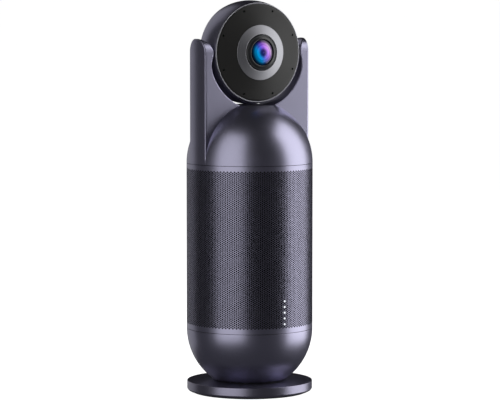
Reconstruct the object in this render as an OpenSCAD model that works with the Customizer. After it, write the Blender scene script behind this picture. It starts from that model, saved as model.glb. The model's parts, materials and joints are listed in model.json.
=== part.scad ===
// Table-top conference camera: a capsule-shaped speaker body on a round base, with a
// yoke that pans on top of it and a round camera head that tilts between the yoke's arms.
// Millimetres, +Z up, the front faces -Y, the origin is the centre of the foot's underside.

/* [Body] */
// Outer radius of the capsule body
body_r = 50; // [48:0.5:52]
// Wall of the moulded bowl and dome
shell_wall = 2.6; // [2:0.1:3]
// Height of the seam between bowl and grille
low_seam_z = 51.1; // [50:0.1:53]
// Height of the seam between grille and dome, where the top pans
top_seam_z = 182.7; // [178:0.1:188]
// Wall of the perforated grille tube
grille_wall = 1.2; // [0.8:0.1:1.6]

/* [Base] */
// Radius of the base disc
base_r = 49.8; // [46:0.1:50]
// Height of the base disc's top face
base_top_z = 9.15; // [8:0.05:10]
// Thickness of the rubber foot
foot_t = 1.2; // [0.8:0.1:1.6]
// Radius of the neck between base and bowl
neck_r = 23; // [22:0.5:25]
// Height of the bowl's flat underside
bowl_floor_z = 10.3; // [10:0.1:11]
// Radius of the camera thread under the base
tripod_r = 3.175; // [3:0.005:3.3]

/* [Yoke] */
// Thickness of the yoke slab, front to back
yoke_t = 23; // [22:0.2:24]
// Height of the tilt axis
tilt_z = 269.9; // [268:0.1:271]
// Radius of the round cut between the arms, about the tilt axis
cut_r = 44.5; // [44:0.1:45]
// Radius that blends the cut into the pivot ears
cut_blend_r = 20; // [16:1:22]
// Distance from the middle to the face of the pivot ears
ear_x = 40.9; // [40.8:0.05:41.2]
// Wall of the hollow yoke
yoke_wall = 2; // [1.8:0.1:2.2]
// Thickness of the arm covers
cover_t = 1.5; // [1.2:0.1:1.6]

/* [Head] */
// Radius of the sphere that the head is cut from
head_r = 41; // [40.6:0.1:41.2]
// Distance from the tilt axis to the head's front and back edge
head_half = 12; // [11.5:0.1:12.5]
// Distance from the middle to the flats at the pivots
head_flat_x = 40.3; // [40:0.05:40.4]
// Wall of the head shell
head_wall = 2.5; // [2:0.1:3]
// Radius of the tilt pivots
pivot_r = 4; // [3.5:0.1:4.5]

/* [Lens] */
// Outer radius of the metal lens bezel
bezel_r = 21.7; // [21:0.1:22.5]
// Outer radius of the lens barrel
barrel_r = 14.2; // [13.5:0.1:14.5]
// Radius of the front lens
lens_r = 10.2; // [9.8:0.1:10.4]
// Travel of the zoom lens group
zoom_travel = 6; // [3:0.5:6.5]
// Travel of the focus lens group
focus_travel = 2; // [1:0.5:2]
// Number of microphone holes in the front glass
mic_count = 8; // [4:1:12]
// Radius of the circle of microphone holes
mic_circle_r = 35; // [33:0.5:35.5]

/* [Drives] */
// Gear module of the pan drive
gear_module = 0.75; // [0.75:0.05:0.8]
// Teeth of the pan gear
gear_teeth = 64; // [60:4:64]
// Teeth of the motor pinion
pinion_teeth = 16; // [16:4:16]
// Radius of the pulley on the head
pulley_r = 5.6; // [5.2:0.1:5.8]
// Radius of the pulley on the tilt motor
motor_pulley_r = 3.5; // [3.25:0.05:3.6]
// Height of the tilt motor's axis
tilt_motor_z = 205; // [202:1:210]

/* [Ports and button] */
// Width of the port bay in the back of the bowl
bay_w = 28; // [26:1:30]
// Height of the middle of the port bay
bay_z = 34.5; // [34:0.5:35]
// Height of the port bay
bay_h = 13; // [12:0.5:14]
// Radius of the power button
button_r = 3; // [2.5:0.1:3.2]
// Travel of the power button
button_travel = 0.8; // [0.5:0.1:1]

/* [Fits] */
// Radial clearance of shafts, buttons and lens carriages
running = 0.05; // [0.03:0.01:0.08]
// Number of sides used to draw round shapes
facets = 128; // [64:16:192]

/* [Hidden] */
$fn = facets;
over = 1;                                  // how far a cut runs past the face it opens
grille_in_r = body_r - grille_wall;
shell_in_r = body_r - shell_wall;
grille_z0 = low_seam_z + 0.6;
grille_z1 = top_seam_z - 0.8;
half_t = yoke_t / 2;
ear_mid_x = ear_x + half_t;                // the ear's round has the radius of the arm's tip
socket_r = sqrt(cut_r ^ 2 + half_t ^ 2) + 0.1; // round socket in the dome, just outside the cut's edges
blend_in = cut_r - cut_blend_r;            // how far the blend's centre is from the tilt axis
blend_out = half_t + cut_blend_r;          // and from the ear's centre
blend_x = (blend_in ^ 2 - blend_out ^ 2 + ear_mid_x ^ 2) / (2 * ear_mid_x);
blend_mid = [blend_x, -sqrt(blend_in ^ 2 - blend_x ^ 2)];
cover_in_r = body_r - cover_t;
boss_r = 22;                               // solid middle of the base plate
ballast_z1 = 6.4;
spigot_r = 20.9;
core_half_y = 36;                          // flats of the speaker box
core_r = 46;
core_wall = 2.5;
box_z0 = low_seam_z + 2.5;
box_z1 = 148;
lid_z1 = box_z1 + 2.5;
deck_z0 = 176;
deck_z1 = 179;
post_xy = [26, 22];
board_z = 156;
driver_z = 112;                            // height of the speaker drivers
driver_r = 27;
driver_hole_r = 24;
led_pitch = 4.5;
led_top_z = 76.7;
led_r = 0.85;
race_z0 = deck_z0;
race_out_r = 16;
race_in_r = 8;
ball_track_r = 12;
ball_r = 1.15;
ball_gap_r = ball_r + running;
gear_z0 = 170;
gear_t = 4;
gear_pitch_r = gear_module * gear_teeth / 2;
pinion_pitch_r = gear_module * pinion_teeth / 2;
drive_dist = gear_pitch_r + pinion_pitch_r;
motor_r = 10;
motor_shaft_r = 1;
floor_z0 = top_seam_z + 0.2;
floor_z1 = floor_z0 + 3;
turret_screw_r = 38;
belt_x0 = 45.8;
belt_w = 1.8;
belt_t = 0.8;
belt_gap = 0.15;
tilt_motor_r = 7.5;
trim_t = 1.4;
glass_r = 38;
glass_tip = 15.4;                          // how far the front glass stands forward at the bezel
lip_r = 36.2;                              // inner radius of the head shell's two lips
lip_t = 4;
plate_z1 = 10.4;                           // front of the plate round the lens barrel
carriage_r = lens_r - 0.3;
rod_r = 0.8;
rod_x = 8;
panel_y = 36;                              // front of the port panel
panel_t = 2.2;
panel_w = bay_w + 4;
panel_h = bay_h + 4;
socket_y0 = 26;
jack_r = 3.9;
usb_x = -9;
button_x = 9.5;

shell_paint = "#77748a";
dark_paint = "#5d5b6b";
black = "#1b1b1f";
rubber = "#131316";
steel = "#9fa2a8";
brass = "#b39a55";
board_green = "#1d4a33";
glass_blue = "#35408f";

// ---- shared shapes ----

module disc(r, z0, z1) {
    translate([0, 0, z0]) cylinder(r = r, h = z1 - z0);
}

module ring(r_in, r_out, z0, z1) {
    difference() {
        disc(r_out, z0, z1);
        disc(r_in, z0 - over, z1 + over);
    }
}

module block(lo, hi) {
    translate(lo) cube(hi - lo);
}

// Stands a shape that was drawn along +Z on the front face, so that +Z points forward
module forward() {
    rotate([90, 0, 0]) children();
}

module at_head() {
    translate([0, 0, tilt_z]) forward() children();
}

// Lays a shape that was drawn along +Z along +X
module sideways() {
    rotate([0, 90, 0]) children();
}

module at_four(xy) {
    for (sx = [-1, 1], sy = [-1, 1]) translate([sx * xy[0], sy * xy[1], 0]) children();
}

module around(count, r, first = 0) {
    for (i = [0 : count - 1]) rotate(first + i * 360 / count) translate([r, 0, 0]) children();
}

module half_left() {
    intersection() {
        children();
        block([-60, -60, 0], [0, 60, 320]);
    }
}

// ---- base ----

module rubber_foot() color(rubber) ring(9, 45.5, 0, foot_t);

module base_plate() color(dark_paint) difference() {
    rotate_extrude() polygon([[0, foot_t], [base_r - 1.2, foot_t], [base_r, foot_t + 1.4],
        [base_r, base_top_z - 0.5], [base_r - 0.5, base_top_z], [0, base_top_z]]);
    ring(boss_r, 42, foot_t - over, ballast_z1);
    disc(tripod_r, foot_t - over, base_top_z - 1);
    around(3, 15) {
        disc(1.6, foot_t - over, base_top_z + over);
        disc(3, foot_t - over, 4);
    }
}

module ballast_plate() color(steel) ring(boss_r + 0.1, 41.9, foot_t, ballast_z1);

module base_screws() color(steel) around(3, 15) {
    disc(2.9, 1.4, 4);
    disc(1.5, 4, 14);
}

module pedestal_neck() color(black) difference() {
    union() {
        disc(neck_r, base_top_z, bowl_floor_z);
        disc(spigot_r, bowl_floor_z, 17.5);
    }
    disc(9, base_top_z - over, 20);
    around(3, 15) disc(1.5, base_top_z - over, 14);
}

module neck_nut() color(steel) ring(spigot_r, 26.5, bowl_floor_z + 2.5, bowl_floor_z + 5.5);

// ---- bowl and ports ----

module port_block(grow, y0, y1) {
    block([-bay_w / 2 - grow, y0, bay_z - bay_h / 2 - grow],
        [bay_w / 2 + grow, y1, bay_z + bay_h / 2 + grow]);
}

module lower_bowl() color(shell_paint) difference() {
    union() {
        rotate_extrude() difference() {
            intersection() {
                translate([0, low_seam_z]) circle(body_r);
                translate([21, bowl_floor_z]) square([body_r, low_seam_z - bowl_floor_z]);
            }
            intersection() {
                translate([0, low_seam_z]) circle(shell_in_r);
                translate([0, bowl_floor_z + 2.5]) square([body_r, body_r]);
            }
        }
        intersection() {
            port_block(2, panel_y, body_r);
            translate([0, 0, low_seam_z]) sphere(body_r);
        }
    }
    port_block(0, panel_y - over, body_r + over);
}

module port_panel() color(black) difference() {
    block([-panel_w / 2, panel_y - panel_t, bay_z - panel_h / 2],
        [panel_w / 2, panel_y, bay_z + panel_h / 2]);
    usb_shape(4.7, 1.85, socket_y0, panel_y + over);
    translate([0, panel_y + over, bay_z]) forward() cylinder(r = jack_r, h = 20);
    translate([button_x, panel_y + over, bay_z]) forward() cylinder(r = button_r + running, h = 20);
}

module usb_shape(half_w, half_h, y0, y1) {
    for (s = [-1, 1]) translate([usb_x + s * (half_w - half_h), y1, bay_z])
        forward() cylinder(r = half_h, h = y1 - y0);
    block([usb_x - half_w + half_h, y0, bay_z - half_h], [usb_x + half_w - half_h, y1, bay_z + half_h]);
}

module usb_socket() color(steel) {
    difference() {
        usb_shape(4.65, 1.8, socket_y0, panel_y);
        usb_shape(4.3, 1.45, socket_y0 + 2, panel_y + over);
    }
    block([usb_x - 3.3, socket_y0 + 1, bay_z - 0.35], [usb_x + 3.3, panel_y - 1, bay_z + 0.35]);
}

module power_socket() color(rubber) translate([0, panel_y, bay_z]) forward() {
    ring(2.9, jack_r, 0, panel_y - socket_y0);
    disc(1, 2, 9);
    disc(3.4, 9, panel_y - socket_y0);
}

module button_switch() color(steel)
    block([button_x - 3, socket_y0, bay_z - 3], [button_x + 3, 30.2, bay_z + 3]);

module port_board() color(board_green)
    block([-panel_w / 2, socket_y0 - 1.6, bay_z - panel_h / 2], [panel_w / 2, socket_y0, bay_z + 7.5]);

module power_button() color(steel) translate([button_x, panel_y - panel_t, bay_z]) forward() {
    disc(button_r, -panel_t - 1.2, 0);
    disc(button_r + 0.9, 0, panel_y - panel_t - 30.2 - button_travel);
}

module lower_gasket() color(rubber) ring(grille_in_r, body_r - 0.5, low_seam_z, grille_z0);

// ---- speaker core ----

module core_outline(inset, z0, z1) {
    intersection() {
        disc(core_r - inset, z0, z1);
        block([-body_r, -core_half_y + inset, z0], [body_r, core_half_y - inset, z1]);
    }
}

// The box is moulded in one with the round floor that stands on the bowl's rim
module speaker_box() color(black) {
    disc(grille_in_r - 0.1, low_seam_z, box_z0);
    difference() {
        core_outline(0, box_z0, box_z1);
        core_outline(core_wall, box_z0 - over, box_z1 + over);
        translate([0, body_r, driver_z]) forward() cylinder(r = driver_hole_r, h = 2 * body_r);
    }
    block([-3, -45.3, 60], [3, -core_half_y, 75]);
}

module speaker_lid() color(black) core_outline(0, box_z1, lid_z1);

module at_driver() {
    translate([0, 0, driver_z]) forward() children();
}

module woofer_frame() color(steel) at_driver() rotate_extrude()
    polygon([[22, core_half_y + 2.5], [driver_r, core_half_y + 2.5], [driver_r, core_half_y],
        [driver_hole_r - 0.1, core_half_y], [driver_hole_r - 0.1, 33], [14, 22], [11, 22],
        [11, 24], [22, 35]]);

module woofer_magnet() color(dark_paint) at_driver() difference() {
    disc(15, 10, 22);
    disc(4, 9, 18);
}

module woofer_cone() color(black) at_driver() rotate_extrude()
    polygon([[0, 29.4], [7, 29.2], [21, 37.6], [21.9, 37.6], [21.9, 36.8], [8, 28], [0, 28]]);

module bass_radiator() color(black) translate([0, 0, driver_z]) rotate([-90, 0, 0]) rotate_extrude()
    polygon([[0, 35], [20, 35], [21, 37], [22, 36], [driver_r, 36], [driver_r, 38.5], [23.5, 38.5],
        [21.5, 38], [20, 37.4], [0, 37.4]]);

module led_board() color(board_green) block([-3.5, -46.6, 54.6], [3.5, -45.3, 80.6]);

module led_row(r, y0, y1) {
    for (i = [0 : 4]) translate([0, y1, led_top_z - i * led_pitch])
        forward() cylinder(r = r, h = y1 - y0, $fn = 24);
}

module led_lenses() color("white") led_row(led_r, -body_r + 0.1, -46.6);

module grille_tube() color(shell_paint) difference() {
    ring(grille_in_r, body_r, grille_z0, grille_z1);
    led_row(led_r + running, -body_r - over, -46.8);
}

module deck_posts() color(steel) at_four(post_xy) {
    disc(4, lid_z1, board_z);
    disc(3, board_z, deck_z0);
}

module main_board() color(board_green) difference() {
    disc(40, board_z, board_z + 1.6);
    at_four(post_xy) disc(3.1, board_z - over, board_z + 3);
    translate([0, drive_dist, 0]) disc(motor_r + 1, board_z - over, board_z + 3);
}

module heat_sink() color(steel) {
    block([-14, -24, board_z + 1.6], [14, 4, board_z + 3.6]);
    for (i = [0 : 6]) block([-14 + i * 4.4, -24, board_z + 3.6], [-12.4 + i * 4.4, 4, board_z + 9]);
}

module top_ring() color(rubber) {
    ring(44, grille_in_r - 0.1, deck_z1, grille_z1);
    ring(44, body_r - 0.7, grille_z1, grille_z1 + 0.4);
}

// ---- pan drive ----

function inv(a) = tan(a) * 180 / PI - a;

// Half the angle of a gear tooth at radius r: an involute, thinned by a little backlash
function tooth_half(r, pitch_r, teeth) =
    let (base_circle = pitch_r * cos(20))
    90 / teeth + inv(20) - inv(acos(min(1, base_circle / max(r, base_circle))))
    - 0.07 / pitch_r * 180 / PI;

module spur_gear(teeth, thick) {
    pitch_r = gear_module * teeth / 2;
    root = pitch_r - 1.2 * gear_module;
    radii = [root, pitch_r - 0.35 * gear_module, pitch_r, pitch_r + 0.45 * gear_module,
        pitch_r + 0.85 * gear_module];
    linear_extrude(thick) union() {
        circle(root + 0.05);
        for (i = [0 : teeth - 1]) rotate(i * 360 / teeth) polygon(concat(
            [for (r = radii) r * [cos(tooth_half(r, pitch_r, teeth)), -sin(tooth_half(r, pitch_r, teeth))]],
            [for (k = [4 : -1 : 0]) let (r = radii[k])
                r * [cos(tooth_half(r, pitch_r, teeth)), sin(tooth_half(r, pitch_r, teeth))]]));
    }
}

module pan_motor() color(steel) translate([0, drive_dist, 0]) difference() {
    disc(motor_r, lid_z1, 168);
    disc(motor_shaft_r + running, 158, 170);
}

module pan_pinion() color(brass) translate([0, drive_dist, 0]) {
    translate([0, 0, gear_z0 - 0.5]) rotate(180 / pinion_teeth) spur_gear(pinion_teeth, gear_t + 1);
    disc(motor_shaft_r, 159, gear_z0);
}

module pan_deck() color(black) difference() {
    disc(grille_in_r - 0.1, deck_z0, deck_z1);
    disc(race_out_r, deck_z0 - over, deck_z1 + over);
}

module bearing_outer() color(steel) ring(ball_track_r + ball_gap_r, race_out_r, race_z0, deck_z1);

module bearing_balls() color(steel) around(16, ball_track_r)
    translate([0, 0, (race_z0 + deck_z1) / 2]) sphere(ball_r, $fn = 32);

module bearing_inner() color(steel) ring(race_in_r, ball_track_r - ball_gap_r, race_z0, deck_z1);

module pan_gear() color(brass) translate([0, 0, gear_z0]) difference() {
    spur_gear(gear_teeth, gear_t);
    translate([0, 0, -over]) cylinder(r = race_in_r, h = gear_t + 2 * over);
    around(6, 15) translate([0, 0, -over]) cylinder(r = 4, h = gear_t + 2 * over);
}

module pan_shaft() color(steel) rotate_extrude()
    polygon([[5, 168], [race_in_r, 168], [race_in_r, deck_z1], [10, deck_z1], [10, 180.2], [14, 180.2],
        [14, floor_z0], [race_in_r, floor_z0], [race_in_r, floor_z1], [5, floor_z1]]);

// ---- turret ----

module turret_floor() color(black) difference() {
    union() {
        disc(shell_in_r - 0.4, floor_z0, floor_z1);
        for (x = [-30, 8], y = [-14, 14]) translate([x, y, 0]) disc(2.2, floor_z1, 189);
    }
    disc(race_in_r, floor_z0 - over, floor_z1 + over);
    around(4, turret_screw_r, 45) {
        disc(1.5, floor_z0 - over, floor_z1 + over);
        disc(3, floor_z0 - over, floor_z0 + 2);
    }
}

module turret_screws() color(steel) around(4, turret_screw_r, 45) {
    disc(2.8, floor_z0, floor_z0 + 2);
    disc(1.3, floor_z0 + 2, 195);
}

module turret_board() color(board_green) block([-36, -18, 189], [14, 18, 190.6]);

module motor_bracket() color(steel) {
    block([22, -8.4, floor_z1], [38, 8.4, floor_z1 + 2]);
    difference() {
        block([36, -8.4, floor_z1 + 2], [38, 8.4, tilt_motor_z + 8.5]);
        translate([30, 0, tilt_motor_z]) sideways() cylinder(r = tilt_motor_r, h = 12);
    }
}

module tilt_motor() color(steel) difference() {
    translate([20, 0, tilt_motor_z]) sideways() cylinder(r = tilt_motor_r, h = 24);
    translate([36, 0, tilt_motor_z]) sideways() cylinder(r = motor_shaft_r + running, h = 10);
}

module motor_pulley() color(brass) translate([0, 0, tilt_motor_z]) sideways() {
    disc(motor_shaft_r, 37, belt_x0);
    disc(motor_pulley_r, belt_x0, belt_x0 + belt_w);
}

// Outline of a belt round two pulleys: an arc on each, joined by the straight runs
module belt_outline(grow) {
    big = pulley_r + belt_gap + grow;
    small = motor_pulley_r + belt_gap + grow;
    lean = asin((big - small) / (tilt_z - tilt_motor_z));
    steps = 36;
    polygon(concat(
        [for (i = [0 : steps]) let (a = -lean + i * (180 + 2 * lean) / steps)
            [big * cos(a), tilt_z + big * sin(a)]],
        [for (i = [0 : steps]) let (a = 180 + lean + i * (180 - 2 * lean) / steps)
            [small * cos(a), tilt_motor_z + small * sin(a)]]));
}

module tilt_belt() color(rubber) translate([belt_x0, 0, 0]) rotate([90, 0, 90])
    linear_extrude(belt_w) difference() {
        belt_outline(belt_t);
        belt_outline(0);
    }

// Side view of the yoke: a strip with a full round at its top
module side_view(half, z0) {
    translate([-body_r - over, 0, 0]) rotate([90, 0, 90]) linear_extrude(2 * body_r + 2 * over) {
        translate([-half, z0]) square([2 * half, tilt_z - z0]);
        translate([0, tilt_z]) circle(half);
    }
}

// Front view of one ear and the blend below it, about the tilt axis; wall draws it that much smaller
module ear_view(wall) {
    ear_mid = [ear_mid_x, 0];
    on_cut = blend_mid * (cut_r + wall) / blend_in;
    on_ear = ear_mid + (blend_mid - ear_mid) * (half_t - wall) / blend_out;
    translate(ear_mid) circle(half_t - wall);
    difference() {
        polygon([on_ear, ear_mid, [70, 0], on_cut * 1.6, on_cut]);
        translate(blend_mid) circle(cut_blend_r + wall);
    }
}

// What is cut out between the arms; wall leaves that much more material round the cut
module front_cut(wall) {
    translate([0, body_r + over, tilt_z]) forward() linear_extrude(2 * body_r + 2 * over) difference() {
        union() {
            circle(cut_r + wall);
            translate([-body_r - over, 0]) square([2 * body_r + 2 * over, body_r]);
        }
        ear_view(wall);
        mirror([1, 0]) ear_view(wall);
    }
}

module yoke_slab(r, half, wall) {
    difference() {
        intersection() {
            disc(r, top_seam_z, 300);
            side_view(half, top_seam_z - over);
        }
        front_cut(wall);
    }
}

// Half sphere on the seam, from z0 up, with the round socket that the head turns in
module dome(r, z0, wall) {
    difference() {
        translate([0, 0, top_seam_z]) sphere(r);
        disc(r + over, 0, z0);
        translate([0, 0, tilt_z]) sphere(socket_r + wall);
    }
}

// Everything outside the arm covers' inner face, as thick as the slab
module cover_zone() {
    difference() {
        side_view(half_t, 0);
        disc(cover_in_r, 0, 300);
    }
}

module side_skin() {
    difference() {
        yoke_slab(body_r, half_t, 0);
        disc(cover_in_r, 0, 300);
    }
}

module turret_shell() color(shell_paint) difference() {
    union() {
        difference() {
            dome(body_r, top_seam_z, 0);
            cover_zone();
        }
        yoke_slab(cover_in_r, half_t, 0);
    }
    difference() {
        union() {
            dome(shell_in_r, top_seam_z - over, yoke_wall);
            yoke_slab(cover_in_r + over, half_t - yoke_wall - 0.3, yoke_wall);
        }
        around(4, turret_screw_r, 45) disc(3.5, floor_z1, 300);
    }
    around(4, turret_screw_r, 45) disc(1.3, 0, 195);
    translate([-60, 0, tilt_z]) sideways() cylinder(r = pivot_r + 1.5, h = 120);
}

module arm_cover_left() color(shell_paint) half_left() side_skin();

module arm_cover_right() color(shell_paint) difference() {
    side_skin();
    block([-60, -60, 0], [0, 60, 320]);
}

module tilt_bushes() color(brass) for (s = [0, 1]) translate([0, 0, tilt_z]) mirror([s, 0, 0])
    sideways() ring(pivot_r + running, pivot_r + 1.5, ear_x, ear_x + 3.7);

// ---- head ----

module pivot(x1) sideways() difference() {
    union() {
        disc(6.5, 36, 37.9);
        disc(pivot_r, 37.9, x1);
    }
    disc(2, 30, 60);
}

module pivot_right() color(steel) translate([0, 0, tilt_z]) pivot(47.6);

module pivot_left() color(steel) translate([0, 0, tilt_z]) mirror([1, 0, 0]) pivot(45);

module tilt_pulley() color(brass) translate([0, 0, tilt_z]) sideways()
    ring(pivot_r, pulley_r, belt_x0, belt_x0 + belt_w);

module head_shell() color(shell_paint) at_head() difference() {
    rotate_extrude() difference() {
        intersection() {
            circle(head_r);
            translate([0, -head_half]) square([head_r, 2 * head_half - trim_t]);
        }
        translate([0, -head_half - over]) square([lip_r, 2 * head_half + 2 * over]);
        intersection() {
            circle(head_r - head_wall);
            translate([0, -head_half + lip_t]) square([head_r, 2 * (head_half - lip_t)]);
        }
    }
    for (s = [-1, 1]) translate([s * (head_flat_x + 5), 0, 0]) cube([10, 40, 40], center = true);
    translate([-60, 0, 0]) sideways() cylinder(r = pivot_r, h = 120);
}

module head_back() color(dark_paint) at_head() difference() {
    disc(lip_r, -head_half, -head_half + 2.5);
    for (r = [12 : 4 : 28]) ring(r - 0.5, r + 0.5, -head_half - over, -head_half + 0.8);
}

module front_trim() color("silver") at_head() rotate_extrude() difference() {
    intersection() {
        circle(head_r);
        translate([0, head_half - trim_t]) square([head_r, trim_t]);
    }
    translate([0, 0]) square([lip_r, head_r]);
    translate([0, head_half - 1]) square([glass_r, head_r]);
}

module front_glass() color(black) at_head() difference() {
    rotate_extrude() polygon([[bezel_r, glass_tip - 2.2], [bezel_r, glass_tip],
        [glass_r, head_half], [glass_r, head_half - 1]]);
    around(mic_count, mic_circle_r, 180 / mic_count) disc(0.9, 0, 20);
}

module lens_bezel() color("silver") at_head() rotate_extrude()
    polygon([[barrel_r, glass_tip - 2.2], [bezel_r, glass_tip - 2.2], [bezel_r, glass_tip + 0.2],
        [barrel_r + 0.4, glass_tip + 1.7], [barrel_r, glass_tip + 1.4]]);

// The barrel carries the round plate that holds it in the head, a rear plate with a window for
// the sensor, and the two rods that the lens groups slide on
module lens_barrel() color(black) at_head() {
    rotate_extrude() polygon([[6, -6], [barrel_r, -6], [barrel_r, 8.2], [lip_r, 8.2],
        [lip_r, plate_z1], [barrel_r, plate_z1], [barrel_r, 16.8], [lens_r + 0.6, 18.7],
        [lens_r, 18.4], [lens_r, -4], [6, -4]]);
    for (s = [-1, 1]) translate([s * rod_x, 0, 0]) disc(rod_r, -5, 13.8);
}

module image_sensor() color(board_green) at_head() {
    block([-11, -11, -7.6], [11, 11, -6]);
    block([-4.5, -3.5, -6], [4.5, 3.5, -4.2]);
}

module mic_board() color(board_green) at_head() difference() {
    ring(30, lip_r - 0.2, plate_z1, plate_z1 + 0.7);
    around(mic_count, mic_circle_r, 180 / mic_count) disc(0.5, 0, 20);
}

module front_lens() color(glass_blue) at_head() intersection() {
    disc(lens_r, 14, 21);
    translate([0, 0, 20 - 24.7]) sphere(24.7);
}

module lens_group(z0, z1, glass_bulge) {
    difference() {
        union() {
            disc(carriage_r, z0, z1);
            intersection() {
                translate([0, 0, z1 + glass_bulge - 18]) sphere(18);
                disc(5, z0, z1 + over);
            }
        }
        for (s = [-1, 1]) translate([s * rod_x, 0, 0]) disc(rod_r + running, z0 - over, z1 + over);
    }
}

module zoom_group() color(glass_blue) at_head() lens_group(2.6, 7, 0.9);

module focus_group() color(glass_blue) at_head() lens_group(-3, -0.5, 0.6);

rubber_foot();
base_plate();
ballast_plate();
base_screws();
pedestal_neck();
neck_nut();
lower_bowl();
port_panel();
usb_socket();
power_socket();
button_switch();
port_board();
power_button();
lower_gasket();
speaker_box();
speaker_lid();
woofer_frame();
woofer_magnet();
woofer_cone();
bass_radiator();
led_board();
led_lenses();
grille_tube();
deck_posts();
main_board();
heat_sink();
pan_motor();
pan_pinion();
pan_deck();
bearing_outer();
bearing_balls();
bearing_inner();
top_ring();
pan_gear();
pan_shaft();
turret_floor();
turret_screws();
turret_board();
motor_bracket();
tilt_motor();
motor_pulley();
tilt_belt();
turret_shell();
arm_cover_left();
arm_cover_right();
tilt_bushes();
pivot_left();
pivot_right();
tilt_pulley();
head_shell();
head_back();
front_trim();
front_glass();
lens_bezel();
lens_barrel();
front_lens();
zoom_group();
focus_group();
image_sensor();
mic_board();
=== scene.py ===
# Table-top conference camera: a perforated speaker body on a round foot, with a camera head
# that tilts in a yoke which pans on top of the body. The front faces -Y, +Z is up.
import json
import math

import bmesh
import bpy
import numpy as np
from mathutils import Matrix, Vector


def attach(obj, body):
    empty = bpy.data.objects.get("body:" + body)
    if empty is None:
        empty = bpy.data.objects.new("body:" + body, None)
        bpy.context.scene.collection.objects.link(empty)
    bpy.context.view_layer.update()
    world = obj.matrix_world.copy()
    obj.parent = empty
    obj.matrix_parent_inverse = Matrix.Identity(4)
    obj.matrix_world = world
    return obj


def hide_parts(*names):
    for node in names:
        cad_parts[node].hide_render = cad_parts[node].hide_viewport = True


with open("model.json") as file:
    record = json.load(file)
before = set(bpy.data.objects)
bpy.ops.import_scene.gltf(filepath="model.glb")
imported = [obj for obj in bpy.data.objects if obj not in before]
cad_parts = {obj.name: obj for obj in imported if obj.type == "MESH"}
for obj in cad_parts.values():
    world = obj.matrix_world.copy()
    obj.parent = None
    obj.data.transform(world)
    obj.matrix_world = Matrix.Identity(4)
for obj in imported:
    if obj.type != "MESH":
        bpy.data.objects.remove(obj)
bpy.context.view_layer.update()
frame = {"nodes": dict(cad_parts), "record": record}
scene = bpy.context.scene

# ---- Painted housings ----
# The housings are moulded or pressed, then sprayed with a fine lilac-grey metallic paint.
# Flake, orange peel and cloudy gloss are one effect, shared by every sprayed piece.


def effect(name, inputs, outputs):
    """An empty node group with named sockets, and its input and output nodes."""
    group = bpy.data.node_groups.new(name, "ShaderNodeTree")
    for label, kind, value in inputs:
        socket = group.interface.new_socket(label, in_out="INPUT", socket_type=kind)
        if value is not None:
            socket.default_value = value
    for label, kind in outputs:
        group.interface.new_socket(label, in_out="OUTPUT", socket_type=kind)
    return group, group.nodes.new("NodeGroupInput"), group.nodes.new("NodeGroupOutput")


FLOAT, COLOUR, VECTOR = "NodeSocketFloat", "NodeSocketColor", "NodeSocketVector"


def spread(tree, value, low, high):
    """Maps a value from 0..1 to low..high; low and high are numbers or sockets."""
    node = tree.nodes.new("ShaderNodeMapRange")
    tree.links.new(value, node.inputs["Value"])
    for socket, limit in (("To Min", low), ("To Max", high)):
        if isinstance(limit, (int, float)):
            node.inputs[socket].default_value = limit
        else:
            tree.links.new(limit, node.inputs[socket])
    return node.outputs["Result"]


def noise(tree, vector, scale, detail=3.0):
    """Cloudy noise from 0 to 1; the scale is in waves per metre."""
    node = tree.nodes.new("ShaderNodeTexNoise")
    node.inputs["Detail"].default_value = detail
    node.inputs["Scale"].default_value = scale
    tree.links.new(vector, node.inputs["Vector"])
    return node.outputs["Fac"]


def blended(tree, factor, first, second):
    """A colour mix; first and second are colours or sockets."""
    node = tree.nodes.new("ShaderNodeMix")
    node.data_type = "RGBA"
    tree.links.new(factor, node.inputs["Factor"])
    for index, colour in ((6, first), (7, second)):
        if isinstance(colour, tuple):
            node.inputs[index].default_value = (*colour, 1.0)
        else:
            tree.links.new(colour, node.inputs[index])
    return node.outputs[2]


def make_spray_effect():
    """The paint's colour, roughness and orange peel, from its colours and its gloss."""
    group, start, end = effect(
        "sprayed_finish",
        [
            ("Vector", VECTOR, None),
            ("Paint", COLOUR, (0.3, 0.3, 0.36, 1)),
            ("Flake", COLOUR, (0.5, 0.5, 0.6, 1)),
            ("Smooth", FLOAT, 0.28),
            ("Rough", FLOAT, 0.36),
        ],
        [("Colour", COLOUR), ("Roughness", FLOAT), ("Height", FLOAT)],
    )
    where = start.outputs["Vector"]
    # Flakes of a fifth of a millimetre, clouds of an inch, and orange peel of a millimetre.
    flakes = noise(group, where, 5200.0, 1.0)
    cloud = noise(group, where, 38.0, 4.0)
    peel = noise(group, where, 900.0, 2.0)
    sparkle = spread(group, flakes, -0.25, 0.75)
    colour = blended(group, sparkle, start.outputs["Paint"], start.outputs["Flake"])
    group.links.new(colour, end.inputs["Colour"])
    rough = spread(group, cloud, start.outputs["Smooth"], start.outputs["Rough"])
    group.links.new(rough, end.inputs["Roughness"])
    group.links.new(peel, end.inputs["Height"])
    return group


spray_effect = make_spray_effect()


def new_material(name, base, metallic=0.0, roughness=0.5, coat=0.0):
    """A Principled material, its tree, its shader and the Object coordinates."""
    material = bpy.data.materials.new(name)
    material.use_nodes = True
    material.diffuse_color = (*base, 1)
    shader = material.node_tree.nodes["Principled BSDF"]
    shader.inputs["Base Color"].default_value = (*base, 1)
    shader.inputs["Metallic"].default_value = metallic
    shader.inputs["Roughness"].default_value = roughness
    shader.inputs["Coat Weight"].default_value = coat
    where = material.node_tree.nodes.new("ShaderNodeTexCoord").outputs["Object"]
    return material, material.node_tree, shader, where


def bump(tree, shader, height, strength, distance):
    """Raises the surface by a height from 0 to 1; the distance is in metres."""
    node = tree.nodes.new("ShaderNodeBump")
    node.inputs["Strength"].default_value = strength
    node.inputs["Distance"].default_value = distance
    tree.links.new(height, node.inputs["Height"])
    tree.links.new(node.outputs["Normal"], shader.inputs["Normal"])


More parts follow.
